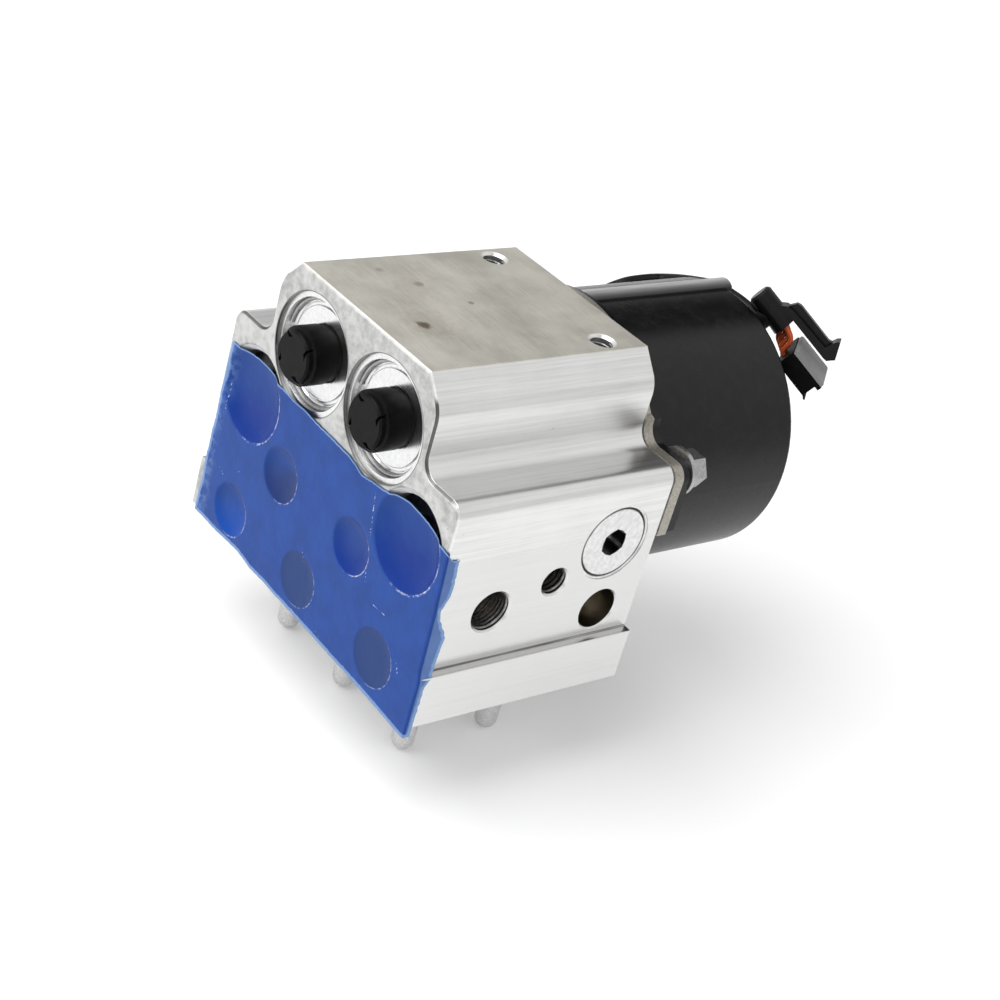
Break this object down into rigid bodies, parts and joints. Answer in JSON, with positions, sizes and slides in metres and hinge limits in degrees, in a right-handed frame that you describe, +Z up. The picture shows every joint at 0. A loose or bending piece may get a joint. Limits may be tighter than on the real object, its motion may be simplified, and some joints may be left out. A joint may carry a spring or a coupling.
{
  "type": "abs brake module",
  "caption": "Hydraulic unit of anti-lock brakes: a machined valve block with solenoid valves below, accumulators in front and a can motor behind that drives its pump.",
  "frame": {"origin": "centre of the valve block's bottom face", "axes": "+X across the front face to the right as seen from the front, +Y from the front face towards the motor, +Z up from the valve domes to the top face"},
  "size_m": [0.1197, 0.1805, 0.1341],
  "materials": {
    "block_aluminium": "machined, bright on the profile and satin on top",
    "plate_steel": "plated, satin",
    "can_black": "gloss black paint",
    "zinc_steel": "bright zinc",
    "film_blue": "thin blue film",
    "sleeve_grey": "matt",
    "rubber_black": "matt",
    "boot_black": "satin",
    "housing_black": "moulded",
    "lock_grey": "moulded",
    "wire_orange": "insulation",
    "ground_steel": "ground",
    "plug_steel": "turned, bright",
    "bush_bronze": "sintered",
    "core_iron": "stacked sheets",
    "winding_copper": "varnished wire and copper bars",
    "magnet_ferrite": "ferrite, matt",
    "holder_brown": "pressed laminate",
    "spring_steel": "spring wire",
    "cap_black": "moulded",
    "brush_carbon": "pressed carbon",
    "dome_steel": "dull, drawn"
  },
  "bodies": {
    "unit": {"accumulator_cover_left": "zinc_steel", "accumulator_cover_right": "zinc_steel", "accumulator_spring_left": "spring_steel", "accumulator_spring_right": "spring_steel", "brush_holder": "holder_brown", "brush_spring_left": "spring_steel", "brush_spring_right": "spring_steel", "connector_housing": "housing_black", "connector_lock": "lock_grey", "connector_wires": "wire_orange", "damper_plug_left": "ground_steel", "damper_plug_right": "ground_steel", "flange_plate": "plate_steel", "front_bearing": "ground_steel", "lead_boot": "boot_black", "lead_sleeve": "sleeve_grey", "magnets": "magnet_ferrite", "motor_bolts": "zinc_steel", "motor_can": "can_black", "motor_washers": "zinc_steel", "port_film": "film_blue", "pump_plug_left": "plug_steel", "pump_plug_right": "plug_steel", "pump_sleeve_left": "ground_steel", "pump_sleeve_right": "ground_steel", "pump_spring_left": "spring_steel", "pump_spring_right": "spring_steel", "rear_bush": "bush_bronze", "retaining_ring_left": "spring_steel", "retaining_ring_right": "spring_steel", "signal_lead": "rubber_black", "valve_block": "block_aluminium", "valve_dome_back_left": "dome_steel", "valve_dome_back_middle": "dome_steel", "valve_dome_back_right": "dome_steel", "valve_dome_front_left": "dome_steel", "valve_dome_front_middle": "dome_steel", "valve_dome_front_right": "dome_steel", "vent_cap_left": "cap_black", "vent_cap_right": "cap_black"},
    "rotor": {"rotor_shaft": "ground_steel", "armature_core": "core_iron", "armature_winding": "winding_copper", "commutator": "winding_copper"},
    "eccentric_ring": {"eccentric_ring": "ground_steel"},
    "pump_piston_right": {"pump_piston_right": "ground_steel"},
    "accumulator_piston_right": {"accumulator_piston_right": "ground_steel"},
    "brush_right": {"brush_right": "brush_carbon"},
    "pump_piston_left": {"pump_piston_left": "ground_steel"},
    "accumulator_piston_left": {"accumulator_piston_left": "ground_steel"},
    "brush_left": {"brush_left": "brush_carbon"},
    "valve_plunger_back_left": {"valve_plunger_back_left": "ground_steel"},
    "valve_plunger_back_middle": {"valve_plunger_back_middle": "ground_steel"},
    "valve_plunger_back_right": {"valve_plunger_back_right": "ground_steel"},
    "valve_plunger_front_left": {"valve_plunger_front_left": "ground_steel"},
    "valve_plunger_front_middle": {"valve_plunger_front_middle": "ground_steel"},
    "valve_plunger_front_right": {"valve_plunger_front_right": "ground_steel"}
  },
  "joints": [
    {"name": "rotor_turn", "type": "hinge", "parent": "unit", "child": "rotor", "pos_m": [0, 0.07, 0.0502], "axis": [0, 1, 0], "continuous": true},
    {"name": "eccentric_ring_turn", "type": "hinge", "parent": "rotor", "child": "eccentric_ring", "pos_m": [0, 0.023, 0.0517], "axis": [0, 1, 0], "continuous": true},
    {"name": "pump_piston_right_slide", "type": "slide", "parent": "unit", "child": "pump_piston_right", "axis": [-1, 0, 0], "range_m": [0, 0.0015], "deforming": ["pump_spring_right"]},
    {"name": "accumulator_piston_right_slide", "type": "slide", "parent": "unit", "child": "accumulator_piston_right", "axis": [0, -1, 0], "range_m": [0, 0.009], "stiffness_N_per_m": 6000, "springref_m": -0.004, "deforming": ["accumulator_spring_right"]},
    {"name": "brush_right_slide", "type": "slide", "parent": "unit", "child": "brush_right", "axis": [1, 0, 0], "range_m": [0, 0.003], "stiffness_N_per_m": 300, "springref_m": -0.004, "deforming": ["brush_spring_right"]},
    {"name": "pump_piston_left_slide", "type": "slide", "parent": "unit", "child": "pump_piston_left", "axis": [1, 0, 0], "range_m": [0, 0.0015], "deforming": ["pump_spring_left"]},
    {"name": "accumulator_piston_left_slide", "type": "slide", "parent": "unit", "child": "accumulator_piston_left", "axis": [0, -1, 0], "range_m": [0, 0.009], "stiffness_N_per_m": 6000, "springref_m": -0.004, "deforming": ["accumulator_spring_left"]},
    {"name": "brush_left_slide", "type": "slide", "parent": "unit", "child": "brush_left", "axis": [-1, 0, 0], "range_m": [0, 0.003], "stiffness_N_per_m": 300, "springref_m": -0.004, "deforming": ["brush_spring_left"]},
    {"name": "valve_plunger_back_left_slide", "type": "slide", "parent": "unit", "child": "valve_plunger_back_left", "axis": [0, 0, 1], "range_m": [0, 0.0004]},
    {"name": "valve_plunger_back_middle_slide", "type": "slide", "parent": "unit", "child": "valve_plunger_back_middle", "axis": [0, 0, 1], "range_m": [0, 0.0004]},
    {"name": "valve_plunger_back_right_slide", "type": "slide", "parent": "unit", "child": "valve_plunger_back_right", "axis": [0, 0, 1], "range_m": [0, 0.0004]},
    {"name": "valve_plunger_front_left_slide", "type": "slide", "parent": "unit", "child": "valve_plunger_front_left", "axis": [0, 0, 1], "range_m": [0, 0.0004]},
    {"name": "valve_plunger_front_middle_slide", "type": "slide", "parent": "unit", "child": "valve_plunger_front_middle", "axis": [0, 0, 1], "range_m": [0, 0.0004]},
    {"name": "valve_plunger_front_right_slide", "type": "slide", "parent": "unit", "child": "valve_plunger_front_right", "axis": [0, 0, 1], "range_m": [0, 0.0004]}
  ]
}
